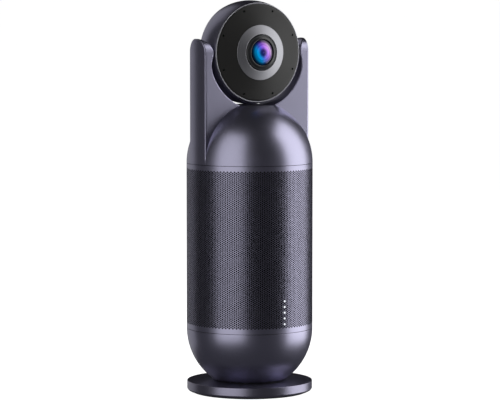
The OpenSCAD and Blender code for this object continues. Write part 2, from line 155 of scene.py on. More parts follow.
def sprayed(name, paint, flake, smooth, rough, metallic):
    """A metallic paint: its colour, its flakes' colour, and its least and most roughness."""
    peel_depth = 0.00004
    material, tree, shader, where = new_material(name, paint, metallic, smooth)
    spray = tree.nodes.new("ShaderNodeGroup")
    spray.node_tree = spray_effect
    tree.links.new(where, spray.inputs["Vector"])
    spray.inputs["Paint"].default_value = (*paint, 1)
    spray.inputs["Flake"].default_value = (*flake, 1)
    spray.inputs["Smooth"].default_value = smooth
    spray.inputs["Rough"].default_value = rough
    tree.links.new(spray.outputs["Colour"], shader.inputs["Base Color"])
    tree.links.new(spray.outputs["Roughness"], shader.inputs["Roughness"])
    bump(tree, shader, spray.outputs["Height"], 0.06, peel_depth)
    return material


body_paint = sprayed("body_paint", (0.335, 0.325, 0.44), (0.46, 0.45, 0.575), 0.3, 0.36, 0.95)
base_paint = sprayed("base_paint", (0.27, 0.26, 0.345), (0.36, 0.35, 0.435), 0.31, 0.37, 0.95)

# ---- Foot and base disc ----
# A cast and turned disc, sprayed, with a chamfered lower edge and a small upper round.
# A rubber ring is glued under it; the ballast, three screws and the camera thread are inside.
mm = 0.001
full_turn = math.tau
base_r, base_low, base_top = 49.8, 1.2, 9.15
chamfer_in, chamfer_up = 1.2, 1.4
groove_in, groove_out, groove_top = 22, 42, 6.4
thread_r, thread_roof = 3.175, 1
screw_circle, screw_hole_r, screw_hole_top = 15, 3, 4


def turned(profile, steps=192):
    """A closed outline of (radius, height) points, turned once about Z."""
    bm = bmesh.new()
    points = [bm.verts.new((radius, 0, height)) for radius, height in profile]
    edges = [bm.edges.new(pair) for pair in zip(points, points[1:] + points[:1])]
    bmesh.ops.spin(bm, geom=points + edges, axis=(0, 0, 1), cent=(0, 0, 0),
                   angle=full_turn, steps=steps, use_merge=True)
    bmesh.ops.remove_doubles(bm, verts=bm.verts, dist=1e-4)
    bmesh.ops.dissolve_degenerate(bm, dist=1e-4, edges=bm.edges)
    bmesh.ops.recalc_face_normals(bm, faces=bm.faces)
    return bm


def arc(centre, radius, first, last, count):
    """Points on a circle in an outline, from one angle in degrees to another."""
    angles = [math.radians(first + (last - first) * i / count) for i in range(count + 1)]
    return [(centre[0] + radius * math.cos(a), centre[1] + radius * math.sin(a)) for a in angles]


def edge_radius(edge):
    """How far an edge starts from the Z axis."""
    return edge.verts[0].co.to_2d().length


def edge_height(edge):
    """How high an edge starts."""
    return edge.verts[0].co.z


def soften(bm, width, segments=3, angle=35, only=None):
    """Rounds the edges that are sharper than the angle."""
    edges = [e for e in bm.edges if len(e.link_faces) == 2
             and e.calc_face_angle(0) > math.radians(angle) and (only is None or only(e))]
    bmesh.ops.bevel(bm, geom=edges, offset=width, offset_type="OFFSET", segments=segments,
                    profile=0.5, affect="EDGES", clamp_overlap=True, material=-1)


def evaluated(helper):
    """The mesh of a helper object with its modifiers, as a bmesh."""
    depsgraph = bpy.context.evaluated_depsgraph_get()
    bm = bmesh.new()
    bm.from_object(helper, depsgraph)
    return bm


def combined(bm, tool, how="DIFFERENCE"):
    """Cuts, joins or intersects two closed shapes and returns the result."""
    pair = []
    for source in (bm, tool):
        mesh = bpy.data.meshes.new("cutting")
        source.to_mesh(mesh)
        source.free()
        pair.append(bpy.data.objects.new("cutting", mesh))
        scene.collection.objects.link(pair[-1])
    change = pair[0].modifiers.new("cut", "BOOLEAN")
    change.operation, change.solver, change.object = how, "EXACT", pair[1]
    result = evaluated(pair[0])
    for helper in pair:
        bpy.data.objects.remove(helper)
    return result


def add_piece(name, bm, material, body, stands_for=(), angle=35, even=True):
    """Makes a finished mesh, drawn in millimetres, an object that rides on its body."""
    bmesh.ops.scale(bm, vec=(mm, mm, mm), verts=bm.verts)
    for face in bm.faces:
        face.smooth = True
    for edge in bm.edges:
        edge.smooth = len(edge.link_faces) != 2 or edge.calc_face_angle(0) < math.radians(angle)
    mesh = bpy.data.meshes.new(name)
    bm.to_mesh(mesh)
    bm.free()
    mesh.materials.append(material)
    piece = bpy.data.objects.new(name, mesh)
    scene.collection.objects.link(piece)
    if even:
        shading = piece.modifiers.new("even_shading", "WEIGHTED_NORMAL")
        shading.keep_sharp = True
    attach(piece, body)
    if stands_for:
        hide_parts(*stands_for)
    return piece


def rod(radius, low, high, at=(0, 0), sides=48):
    """A closed round bar along Z."""
    bm = bmesh.new()
    bmesh.ops.create_cone(bm, cap_ends=True, segments=sides, radius1=radius, radius2=radius,
                          depth=high - low,
                          matrix=Matrix.Translation((at[0], at[1], (low + high) / 2)))
    return bm


def block(low, high):
    """A closed box between two corners."""
    bm = bmesh.new()
    size = Vector(high) - Vector(low)
    place = Matrix.Translation((Vector(low) + Vector(high)) / 2) @ Matrix.Diagonal((*size, 1))
    bmesh.ops.create_cube(bm, size=1, matrix=place)
    return bm


def on_circle(radius, count, first=0.0):
    """Places spread evenly on a circle; first is the first one's turn, in steps."""
    turns = [full_turn * (number + first) / count for number in range(count)]
    return [(radius * math.cos(turn), radius * math.sin(turn)) for turn in turns]


disc_shape = turned([(thread_r, base_low), (groove_in, base_low), (groove_in, groove_top),
                     (groove_out, groove_top), (groove_out, base_low),
                     (base_r - chamfer_in, base_low), (base_r, base_low + chamfer_up),
                     (base_r, base_top), (0, base_top), (0, base_top - thread_roof),
                     (thread_r, base_top - thread_roof)])
soften(disc_shape, 0.45, 3, 35, lambda edge: edge_radius(edge) > base_r - 2)
for spot in on_circle(screw_circle, 3):
    disc_shape = combined(disc_shape, rod(screw_hole_r, 0, screw_hole_top, spot))
add_piece("base_disc", disc_shape, base_paint, "base", ["base_plate"])

# ---- Bowl ----
# The lower shell is a moulded half sphere with a flat underside round the neck. A recess in
# its back holds the sockets and the power button; the recess walls are moulded with it.
body_r, bowl_wall, low_seam = 50.0, 2.6, 51.1
bowl_floor, floor_thick, floor_hole_r = 10.3, 2.5, 21
bay_low, bay_high = Vector((-14, 36, 28)), Vector((14, 52, 41))
bay_wall, bay_corner = 2, 2.0

floor_angle = math.degrees(math.asin((bowl_floor - low_seam) / body_r))
floor_inner = math.degrees(math.asin((bowl_floor + floor_thick - low_seam) / (body_r - bowl_wall)))
bowl = turned([(floor_hole_r, bowl_floor)] + arc((0, low_seam), body_r, floor_angle, 0, 56)
              + arc((0, low_seam), body_r - bowl_wall, 0, floor_inner, 40)
              + [(floor_hole_r, bowl_floor + floor_thick)])
soften(bowl, 0.15, 2, 35, lambda edge: edge_radius(edge) > 25)
liner = block(bay_low - Vector((bay_wall, 0, bay_wall)),
              (bay_high.x + bay_wall, body_r + 1, bay_high.z + bay_wall))
within = turned([(0, 0)] + arc((0, low_seam), body_r - 0.03, -90, 90, 96)[1:], 96)
bowl = combined(bowl, combined(liner, within, "INTERSECT"), "UNION")
opening = block(bay_low - Vector((0, 1, 0)), bay_high)
soften(opening, bay_corner, 5, 35, lambda edge: abs(edge.verts[0].co.y - edge.verts[1].co.y) > 1)
bowl = combined(bowl, opening)
add_piece("bowl", bowl, body_paint, "base", ["lower_bowl"], 30, False)

# ---- Speaker grille ----
# A tube of sheet steel punched with about sixteen thousand round holes in staggered columns,
# rolled, welded and sprayed. It is made here in four quarters that meet edge to edge.
grille_r, grille_wall = 50.0, 1.2
grille_low, grille_high = 51.4, 182.35
holes_low, hole_rows, hole_columns = 55.95, 74, 216
hole_pitch, hole_r = 1.66, 0.72
column_step = full_turn * grille_r / hole_columns
near = 0.01  # two places closer than this are the same


def hole_cell(x, z):
    """A six-cornered cell of the sheet: front, back, and the wall of its hole between them."""
    bm = bmesh.new()
    flat = Matrix.Translation((x, 0, z)) @ Matrix.Rotation(math.pi / 2, 4, "X")
    rim = bmesh.ops.create_circle(bm, segments=8, radius=hole_r, matrix=flat
                                  @ Matrix.Rotation(math.pi / 8, 4, "Z"))["verts"]
    corners = [(2, 0), (1, 1), (-1, 1), (-2, 0), (-1, -1), (1, -1)]
    outline = [bm.verts.new((x + i * column_step / 3, 0, z + j * hole_pitch / 2))
               for i, j in corners]
    edges = [bm.edges.new(pair) for pair in zip(outline, outline[1:] + outline[:1])]
    rim_edges = list({e for v in rim for e in v.link_edges})
    bmesh.ops.bridge_loops(bm, edges=edges + rim_edges)
    for face in bm.faces:
        face.normal_update()
        if face.normal.y > 0:
            face.normal_flip()
    back = bmesh.ops.duplicate(bm, geom=bm.verts[:] + bm.edges[:] + bm.faces[:])
    back_verts = [g for g in back["geom"] if isinstance(g, bmesh.types.BMVert)]
    back_faces = [g for g in back["geom"] if isinstance(g, bmesh.types.BMFace)]
    bmesh.ops.reverse_faces(bm, faces=back_faces)
    bmesh.ops.translate(bm, verts=back_verts, vec=(0, grille_wall, 0))
    rims = [e for e in bm.edges if all((v.co - Vector((x, v.co.y, z))).length < hole_r + near
                                       for v in e.verts)]
    wall = bmesh.ops.bridge_loops(bm, edges=rims)["faces"]
    # Each hole's wall takes the second finish, which is painted shade: near black, for the shade
    # deep in the hole.
    for face in wall:
        face.material_index = 1
        face.normal_update()
        inward = Vector((x, grille_wall / 2, z)) - face.calc_center_median()
        if face.normal.dot(inward) < 0:
            face.normal_flip()
    return bm


def grown(bm, edges, moved):
    """Extrudes a border, moves the new edge by a rule for its points, and returns it."""
    made = bmesh.ops.extrude_edge_only(bm, edges=edges)["geom"]
    for item in made:
        if isinstance(item, bmesh.types.BMVert):
            item.co = moved(item.co)
    return [item for item in made if isinstance(item, bmesh.types.BMEdge)]


def grille_quarter():
    """A flat quarter of the punched sheet with plain borders, rolled to the tube's radius."""
    bm = hole_cell(0, 0)
    second = hole_cell(column_step, hole_pitch / 2)
    mesh = bpy.data.meshes.new("cells")
    second.to_mesh(mesh)
    second.free()
    bm.from_mesh(mesh)
    weld = 0.001
    bmesh.ops.remove_doubles(bm, verts=bm.verts, dist=weld)
    bm.to_mesh(mesh)
    bm.free()
    helper = bpy.data.objects.new("cells", mesh)
    scene.collection.objects.link(helper)
    upward = (hole_rows, (0, 0, hole_pitch))
    sideways = (hole_columns // 8, (2 * column_step, 0, 0))
    for count, offset in (upward, sideways):
        rows = helper.modifiers.new("repeat", "ARRAY")
        rows.count, rows.use_relative_offset, rows.use_constant_offset = count, False, True
        rows.constant_offset_displace = offset
        rows.use_merge_vertices, rows.merge_threshold = True, weld
    bm = evaluated(helper)
    bpy.data.objects.remove(helper)
    # The ragged edges of both skins are drawn out to one straight line, and joined there.
    top = (hole_rows - 0.5) * hole_pitch
    for at_end, end in ((lambda z: z < near, grille_low - holes_low),
                        (lambda z: z > top - near, grille_high - holes_low)):
        for depth in (grille_wall, 0):
            ragged = [e for e in bm.edges if e.is_boundary
                      and all(abs(v.co.y - depth) < near and at_end(v.co.z) for v in e.verts)
                      and abs(e.verts[0].co.x - e.verts[1].co.x) > near]
            line = grown(bm, ragged, lambda co: (co.x, depth, end))
        grown(bm, line, lambda co: (co.x, grille_wall, end))
        bmesh.ops.remove_doubles(bm, verts=bm.verts, dist=near)
    for v in bm.verts:
        angle = v.co.x / grille_r - math.pi / 4
        radius = grille_r - v.co.y
        v.co = (radius * math.sin(angle), -radius * math.cos(angle), v.co.z + holes_low)
    return bm


# The hole walls' finish is painted shade: near black with a little noise, standing in for the shade
# inside each hole.
hole_wall_painted_shade, hole_shade_tree, hole_shade_shader, hole_shade_where = new_material(
    "hole_wall_painted_shade", (0.02, 0.02, 0.024), 0.3, 0.7)
hole_shade_tree.links.new(blended(hole_shade_tree, noise(hole_shade_tree, hole_shade_where, 1200.0),
                            (0.014, 0.014, 0.017), (0.032, 0.031, 0.037)),
                    hole_shade_shader.inputs["Base Color"])
quarter = grille_quarter()
bmesh.ops.recalc_face_normals(quarter, faces=quarter.faces)
for number in range(4):
    part = quarter.copy()
    bmesh.ops.rotate(part, verts=part.verts, cent=(0, 0, 0),
                     matrix=Matrix.Rotation(number * math.pi / 2, 3, "Z"))
    sheet = add_piece(f"grille_{number + 1}", part, body_paint, "base",
                      ["grille_tube"], 40, False)
    sheet.data.materials.append(hole_wall_painted_shade)
quarter.free()

# ---- Acoustic cloth ----
# Thin black cloth is glued inside the punched tube and keeps dust and glances out of it.
# Over the top rows of holes it steps outwards, past the rim of the deck.
cloth_in, cloth_out, cloth_low, cloth_top = 48.2, 48.45, 54.5, 175.6
rim_in, rim_out, rim_step, rim_top = 48.73, 48.78, 0.25, 180
cloth_black, cloth_tree, cloth_shader, cloth_where = new_material(
    "acoustic_cloth", (0.006, 0.006, 0.007), 0.0, 0.95)
cloth_weave = noise(cloth_tree, cloth_where, 3000.0, 2.0)
cloth_tree.links.new(blended(cloth_tree, cloth_weave, (0.004, 0.004, 0.005),
                             (0.012, 0.012, 0.014)), cloth_shader.inputs["Base Color"])
bump(cloth_tree, cloth_shader, cloth_weave, 0.4, 0.0001)
cloth = turned([(cloth_in, cloth_low), (cloth_out, cloth_low), (cloth_out, cloth_top),
                (rim_out, cloth_top + rim_step), (rim_out, rim_top), (rim_in, rim_top),
                (rim_in, cloth_top + rim_step + 0.1), (cloth_in, cloth_top + 0.1)])
add_piece("acoustic_cloth", cloth, cloth_black, "base")

# ---- Status lights ----
# Five light pipes of milky plastic stand one above another in the grille's front. Each is
# pushed through the sheet from behind, over its own lamp on the board.
led_white, _, led_shader, _ = new_material("light_pipe", (0.9, 0.92, 0.95), 0.0, 0.25)
led_shader.inputs["Emission Color"].default_value = (0.9, 0.95, 1.0, 1)
led_shader.inputs["Emission Strength"].default_value = 0.8
led_top, led_step, led_r = 76.7, 4.5, 0.75
led_long, led_proud = 3.5, 0.25
led_middle = led_long / 2 - led_proud - grille_r
pipes = bmesh.new()
for number in range(5):
    place = (Matrix.Translation((0, led_middle, led_top - number * led_step))
             @ Matrix.Rotation(math.pi / 2, 4, "X"))
    bmesh.ops.create_cone(pipes, cap_ends=True, segments=24, radius1=led_r, radius2=led_r,
                          depth=led_long, matrix=place)
soften(pipes, 0.2, 3, 60)
add_piece("status_lights", pipes, led_white, "base", ["led_lenses"])

# ---- Yoke and dome ----
# One moulded shell: a half sphere that pans on the body, with a round socket for the head,
# and a slab through it whose two arms carry the tilt pivots. A cover clips over each arm.
dome_z, tilt_z = 182.7, 269.9
half_slab, cut_r, ear_r, ear_mid, blend_r = 11.5, 44.5, 11.5, 52.4, 20.0
socket_r = math.hypot(cut_r, half_slab) + 0.1
edge_round, rim_round = 0.7, 0.45
blend_in, blend_out = cut_r - blend_r, ear_r + blend_r
blend_x = (blend_in ** 2 - blend_out ** 2 + ear_mid ** 2) / (2 * ear_mid)
blend_z = -math.sqrt(blend_in ** 2 - blend_x ** 2)
slab_proud, cover_r, cover_gap = 0.02, 48.5, 0.04


def round_and(a, b, radius):
    """Distance to what two solids share, with the edge between them rounded."""
    return (np.minimum(-radius, np.maximum(a, b))
            + np.hypot(np.maximum(a + radius, 0), np.maximum(b + radius, 0)))


def dome_distance(p):
    """How far points are outside the dome with its socket, in millimetres."""
    x, y, z = p.T
    tube = np.hypot(x, y) - body_r
    ball = np.sqrt(x * x + y * y + (z - dome_z) ** 2) - body_r
    socket = socket_r - np.sqrt(x * x + y * y + (z - tilt_z) ** 2)
    return round_and(np.where(z < dome_z, tube, ball), socket, rim_round)


def slab_distance(p):
    """How far points are outside the slab with its two arms, in millimetres.

    The slab lies within the body's tube and its own thickness, with a round top. The round cut
    for the head takes out its middle, and a hollow curve blends the cut into each ear.
    """
    x, y, up = np.abs(p[:, 0]), np.abs(p[:, 1]), p[:, 2] - tilt_z
    tube = np.hypot(x, y) - body_r - slab_proud
    strip = np.where(up < 0, y, np.hypot(y, up)) - half_slab
    across = cut_r - np.hypot(x, up)
    ear = np.hypot(x - ear_mid, up) - ear_r
    blend = blend_r - np.hypot(x - blend_x, up - blend_z)
    past_cut = blend_x * (up - blend_z) - blend_z * (x - blend_x) > 0
    before_ear = (ear_mid - blend_x) * (up - blend_z) + blend_z * (x - blend_x) < 0
    front = np.where(up >= 0, ear, np.where(past_cut & before_ear, blend,
                                            np.minimum(across, ear)))
    return round_and(round_and(strip, tube, edge_round), front, rim_round)


def slopes(points, distance):
    """The direction in which the distance grows fastest, at each point."""
    small = 0.01
    sides = [(distance(points + step) - distance(points - step)) / (2 * small)
             for step in np.eye(3) * small]
    return np.stack(sides, axis=1)


def settled(points, rounds):
    """Moves points onto the slab's surface, by short steps."""
    longest = 0.8
    for _ in range(rounds):
        slope = slopes(points, slab_distance)
        size = np.maximum((slope ** 2).sum(1), 0.25)
        step = (slab_distance(points) / size)[:, None] * slope
        length = np.linalg.norm(step, axis=1, keepdims=True)
        points = points - step * np.minimum(1, longest / np.maximum(length, 1e-9))
    return points


def rough_slab(low=176, short=0.3, hollow_r=40.0):
    """A block-out of the slab, a little short all round and hollow inside the dome."""
    cut_end = math.degrees(math.atan2(blend_z, blend_x))
    ear_end = math.degrees(math.atan2(-blend_z, ear_mid - blend_x))
    inner = (arc((0, tilt_z), cut_r, -90, cut_end, 30)
             + arc((blend_x, tilt_z + blend_z), blend_r, cut_end, ear_end, 16)[1:]
             + arc((ear_mid, tilt_z), ear_r - short, 180 + ear_end, 80, 24))
    foot = math.degrees(math.asin((low - dome_z) / hollow_r))
    right = inner + [(body_r + 6, low)] + arc((0, dome_z), hollow_r, foot, 90, 40)[:-1]
    left = [(-x, z) for x, z in reversed(right)]
    bm = bmesh.new()
    outline = right[1:] + [(0, dome_z + hollow_r)] + left[:-1] + [(0, tilt_z - cut_r)]
    deep = half_slab + 8
    face = bm.faces.new([bm.verts.new((x, -deep, z)) for x, z in outline])
    other = bmesh.ops.extrude_face_region(bm, geom=[face])["geom"]
    bmesh.ops.translate(bm, verts=[g for g in other if isinstance(g, bmesh.types.BMVert)],
                        vec=(0, 2 * deep, 0))
    bmesh.ops.recalc_face_normals(bm, faces=bm.faces)
    thick, wide, sliver = half_slab - short, body_r + 10, 0.01
    strip = rod(thick, -wide, wide, sides=96)
    bmesh.ops.transform(strip, verts=strip.verts, matrix=Matrix.Translation((0, 0, tilt_z))
                        @ Matrix.Rotation(math.pi / 2, 4, "Y"))
    under = block((1 - wide, -thick - sliver, low - 5), (wide - 1, thick + sliver, tilt_z))
    strip = combined(strip, under, "UNION")
    bm = combined(bm, strip, "INTERSECT")
    return combined(bm, rod(body_r - short, low - 5, tilt_z + 20, sides=192), "INTERSECT")


def slab_mesh(size=0.45):
    """The block-out remeshed evenly, then its points moved onto the true rounded surface."""
    mesh = bpy.data.meshes.new("slab")
    start = rough_slab()
    start.to_mesh(mesh)
    start.free()
    helper = bpy.data.objects.new("slab", mesh)
    scene.collection.objects.link(helper)
    remesh = helper.modifiers.new("even_faces", "REMESH")
    remesh.mode, remesh.voxel_size = "VOXEL", size
    bm = evaluated(helper)
    bpy.data.objects.remove(helper)
    bm.verts.ensure_lookup_table()
    points = np.array([v.co for v in bm.verts])
    # What the dome hides stays rough: it is no part of the finished surface.
    hidden = np.hypot(points[:, 0], points[:, 2] - dome_z) < body_r - 3
    hidden |= points[:, 2] < dome_z - 3
    hidden &= points[:, 2] < tilt_z - cut_r - 0.5
    ends = np.array([[v.index for v in e.verts] for e in bm.edges])
    count = np.bincount(ends.ravel(), minlength=len(points))[:, None]
    loose = ~hidden[:, None]
    points = np.where(loose, settled(points, 6), points)
    ease = 0.6
    for _ in range(5):
        total = np.zeros_like(points)
        np.add.at(total, ends[:, 0], points[ends[:, 1]])
        np.add.at(total, ends[:, 1], points[ends[:, 0]])
        evened = points + ease * (total / count - points)
        points = np.where(loose, settled(evened, 2), points)
    points = np.where(loose, settled(points, 4), points)
    for vert, place in zip(bm.verts, points):
        vert.co = place
    return bm


def sliced(bm, at, normal):
    """Cuts away what is beyond a plane, on the side the normal points to, and closes the cut."""
    made = bmesh.ops.bisect_plane(bm, geom=bm.verts[:] + bm.edges[:] + bm.faces[:], dist=1e-5,
                                  plane_co=at, plane_no=normal, clear_outer=True)
    edges = [g for g in made["geom_cut"] if isinstance(g, bmesh.types.BMEdge)]
    bmesh.ops.holes_fill(bm, edges=edges, sides=0)
    return bm


def cover_space(side, radius, half_width):
    """The room outside a radius, on one side of the yoke, where its cover sits."""
    low, high = dome_z - 9, tilt_z + 20
    ring = turned([(radius, low), (60, low), (60, high), (radius, high)], 256)
    left, right = sorted((side * 30, side * 61))
    room = block((left, -half_width, low + 1), (right, half_width, high - 1))
    return combined(ring, room, "INTERSECT")


def true_shading(piece):
    """Gives each face corner the exact direction of the surface that it lies on."""
    mesh = piece.data

    def values(items, name, width, kind=np.float32):
        out = np.empty(len(items) * width, kind)
        items.foreach_get(name, out)
        return out.reshape(-1, width).astype(np.float64) if width > 1 else out

    where = values(mesh.vertices, "co", 3) / mm
    middle = values(mesh.polygons, "center", 3) / mm
    flat = values(mesh.polygons, "normal", 3)
    corner = values(mesh.loops, "vertex_index", 1, np.int32)
    face = np.repeat(np.arange(len(flat)), values(mesh.polygons, "loop_total", 1, np.int32))
    on_dome = np.abs(dome_distance(middle)) < np.abs(slab_distance(middle))
    exact = np.where(on_dome[face][:, None], slopes(where, dome_distance)[corner],
                     slopes(where, slab_distance)[corner])
    exact /= np.maximum(np.linalg.norm(exact, axis=1, keepdims=True), 1e-6)
    # A cut face lies on neither surface, so it stays flat: it is over 45 degrees away.
    agrees = (exact * flat[face]).sum(1, keepdims=True) > 0.7
    mesh.normals_split_custom_set(np.where(agrees, exact, flat[face]))


rim_z = (dome_z + tilt_z) / 2 + (body_r ** 2 - socket_r ** 2) / (2 * (tilt_z - dome_z))
rim_angle = math.degrees(math.asin((rim_z - dome_z) / body_r))
rim_dip = -math.degrees(math.asin((tilt_z - rim_z) / socket_r))
dome = turned([(0, dome_z - 3), (body_r, dome_z - 3)] + arc((0, dome_z), body_r, 0, rim_angle, 60)
              + arc((0, tilt_z), socket_r, rim_dip, -90, 20)[1:], 224)
soften(dome, rim_round, 3, 35, lambda edge: edge_height(edge) > rim_z - 1)
yoke = sliced(combined(dome, slab_mesh(), "UNION"), (0, 0, dome_z), (0, 0, -1))
for side, name in ((1, "right"), (-1, "left")):
    cover = combined(yoke.copy(), cover_space(side, cover_r + cover_gap, half_slab - 0.04),
                     "INTERSECT")
    true_shading(add_piece(f"cover_{name}", cover, body_paint, "turret",
                           [f"arm_cover_{name}"], 40, False))
    yoke = combined(yoke, cover_space(side, cover_r - cover_gap, half_slab + 0.02))
true_shading(add_piece("yoke", yoke, body_paint, "turret", ["turret_shell"],
                       40, False))

# ---- Head ----
# A moulded ball, cut flat front and back, and at its sides, where the ears hide its pivots.
# Everything on the head is drawn about its own axis and then laid along -Y at the tilt axis.
head_r, head_half, head_wall, head_flat = 41.0, 12.0, 2.5, 40.3
trim_depth, lip_r, lip_inner = 0.55, 36.2, 8


def on_head(bm):
    """Turns a shape drawn along +Z to face forward, and lifts it to the tilt axis."""
    place = Matrix.Translation((0, 0, tilt_z)) @ Matrix.Rotation(math.pi / 2, 4, "X")
    bmesh.ops.transform(bm, matrix=place, verts=bm.verts)
    return bm


back_angle = math.degrees(math.asin(-head_half / head_r))
shell_top = head_half - trim_depth
front_angle = math.degrees(math.asin(shell_top / head_r))
inner_r = head_r - head_wall
inner_angle = math.degrees(math.asin(lip_inner / inner_r))
head = turned([(lip_r, -head_half)] + arc((0, 0), head_r, back_angle, front_angle, 40)
              + [(lip_r, shell_top), (lip_r, lip_inner)]
              + arc((0, 0), inner_r, inner_angle, -inner_angle, 16) + [(lip_r, -lip_inner)], 224)
soften(head, 0.5, 3, 40, lambda edge: edge_radius(edge) > inner_r + 0.1 and edge_height(edge) < 0)
on_head(head)
for side in (1, -1):
    sliced(head, (side * head_flat, 0, 0), (side, 0, 0))
add_piece("head_ball", head, body_paint, "head", ["head_shell"], 35, False)

# ---- Head back ----
# A sprayed plate closes the back of the head; five fine grooves in it let warm air out.
plate_inner, air_half, air_floor = -9.5, 0.5, -11.2
plate = [(0, -head_half), (0, plate_inner), (lip_r, plate_inner), (lip_r, -head_half)]
for radius in (28, 24, 20, 16, 12):
    plate += [(radius + air_half, -head_half), (radius + air_half, air_floor),
              (radius - air_half, air_floor), (radius - air_half, -head_half)]
back_plate = turned(plate)
soften(back_plate, 0.12, 2, 35, lambda edge: edge_height(edge) < plate_inner - 0.5)
add_piece("head_back_plate", on_head(back_plate), base_paint, "head", ["head_back"])

# ---- Front ring ----
# A satin metal ring, less than a millimetre wide, frames the front glass. It is pressed into
# the front of the ball and holds the glass.
bright_trim, trim_tree, trim_shader, trim_where = new_material(
    "bright_trim", (0.4, 0.4, 0.44), 1.0, 0.28)
trim_marks = noise(trim_tree, trim_where, 700.0, 3.0)
trim_tree.links.new(spread(trim_tree, trim_marks, 0.24, 0.34), trim_shader.inputs["Roughness"])
glass_r, trim_back = 38.4, 11
trim_angle = math.degrees(math.asin(head_half / head_r))
trim = turned([(lip_r, shell_top)] + arc((0, 0), head_r, front_angle, trim_angle, 4)
              + [(glass_r, head_half), (glass_r, trim_back), (lip_r, trim_back)], 224)
soften(trim, 0.25, 3, 40, lambda edge: edge_height(edge) > head_half - 0.5)
add_piece("front_ring", on_head(trim), bright_trim, "head", ["front_trim"], 50)

# ---- Front glass ----
# A shallow cone of black glass with a soft gloss, bedded in the front ring. Eight microphone
# holes are drilled near its edge.
front_black, glass_tree, glass_shader, glass_where = new_material(
    "front_black", (0.028, 0.0275, 0.0265), 0.0, 0.35)
glass_shader.inputs["Specular IOR Level"].default_value = 0.28
glass_dust = noise(glass_tree, glass_where, 60.0, 5.0)
glass_tree.links.new(spread(glass_tree, glass_dust, 0.32, 0.4), glass_shader.inputs["Roughness"])
bezel_r, glass_tip, glass_thick = 21.7, 15.4, 2.2
rim_r, rim_height = glass_r - 0.1, head_half - 0.05
mic_circle, mic_r, mic_count, mic_ring = 35.0, 0.9, 8, 1.3
glass_fall = (glass_tip - rim_height) / (rim_r - bezel_r)
# A ring of edges on each side of the holes keeps the cone between them true.
beside = [(radius, glass_tip - glass_fall * (radius - bezel_r))
          for radius in (mic_circle + mic_ring, mic_circle - mic_ring)]
front_cone = turned([(bezel_r, glass_tip - glass_thick), (rim_r, head_half - 1),
                     (rim_r, rim_height)] + beside + [(bezel_r, glass_tip)], 224)
soften(front_cone, 0.15, 2, 40,
       lambda edge: edge_radius(edge) > rim_r - 1 and edge_height(edge) > rim_height - 0.5)
for spot in on_circle(mic_circle, mic_count, 0.5):
    front_cone = combined(front_cone, rod(mic_r, 5, 16, spot, 24))
add_piece("front_cone", on_head(front_cone), front_black, "head",
          ["front_glass"], 30, False)

# ---- Lens bezel ----
# A ring turned from aluminium and left satin, with the fine circular marks of the lathe. It
# is glued round the barrel and covers the edge of the glass.
bezel_metal, bezel_tree, bezel_shader, bezel_where = new_material(
    "bezel_metal", (0.34, 0.34, 0.365), 1.0, 0.45)
bezel_hole_r = 14.2


def from_lens_axis(tree, where):
    """A point's place across and above the lens axis, in metres, and its distance from it."""
    shift = tree.nodes.new("ShaderNodeMapping")
    shift.inputs["Location"].default_value = (0, 0, -tilt_z * mm)
    tree.links.new(where, shift.inputs["Vector"])
    split = tree.nodes.new("ShaderNodeSeparateXYZ")
    tree.links.new(shift.outputs["Vector"], split.inputs["Vector"])
    flat = tree.nodes.new("ShaderNodeCombineXYZ")
    tree.links.new(split.outputs["X"], flat.inputs["X"])
    tree.links.new(split.outputs["Z"], flat.inputs["Y"])
    length = tree.nodes.new("ShaderNodeVectorMath")
    length.operation = "LENGTH"
    tree.links.new(flat.outputs["Vector"], length.inputs[0])
    return flat.outputs["Vector"], length.outputs["Value"]


_, from_axis = from_lens_axis(bezel_tree, bezel_where)
ring_place = bezel_tree.nodes.new("ShaderNodeCombineXYZ")
bezel_tree.links.new(from_axis, ring_place.inputs["X"])
lathe = noise(bezel_tree, ring_place.outputs["Vector"], 6000.0, 2.0)
bezel_tree.links.new(spread(bezel_tree, lathe, 0.36, 0.48), bezel_shader.inputs["Roughness"])
bump(bezel_tree, bezel_shader, lathe, 0.15, 0.00003)
bezel = turned([(bezel_hole_r, glass_tip - glass_thick), (bezel_r, glass_tip - glass_thick),
                (bezel_r, glass_tip + 0.2), (bezel_hole_r + 0.4, glass_tip + 1.7),
                (bezel_hole_r, glass_tip + 1.4)], 160)
soften(bezel, 0.2, 3, 30, lambda edge: edge_height(edge) > glass_tip)
add_piece("bezel", on_head(bezel), bezel_metal, "head", ["lens_bezel"], 40)

# ---- Lens barrel ----
# A black anodised barrel with its mounting plate; the nose in front of the bezel is conical.
barrel_black, barrel_tree, barrel_shader, barrel_where = new_material(
    "barrel_black", (0.02, 0.021, 0.023), 0.0, 0.35)
barrel_grain = noise(barrel_tree, barrel_where, 1500.0, 3.0)
barrel_tree.links.new(spread(barrel_tree, barrel_grain, 0.28, 0.42),
                      barrel_shader.inputs["Roughness"])
lens_r, barrel_r, light_hole_r = 10.2, bezel_hole_r, 6
barrel_back, barrel_floor, plate_low, plate_top, nose_foot = -6, -4, 8.2, 10.4, 16.8
barrel = turned([(light_hole_r, barrel_back), (barrel_r, barrel_back), (barrel_r, plate_low),
                 (lip_r, plate_low), (lip_r, plate_top), (barrel_r, plate_top),
                 (barrel_r, nose_foot), (13.2, 17.6), (12.8, 17.5), (lens_r + 0.7, 18.6),
                 (lens_r, 18.3), (lens_r, barrel_floor), (light_hole_r, barrel_floor)], 128)
soften(barrel, 0.15, 2, 25, lambda edge: edge_height(edge) > 16)
guide_x, guide_r, guide_top = 8, 0.8, 13.8
for x in (-guide_x, guide_x):
    guide = rod(guide_r, barrel_floor - 1, guide_top, (x, 0), 24)
    barrel = combined(barrel, guide, "UNION")
add_piece("barrel", on_head(barrel), barrel_black, "head", ["lens_barrel"], 30)

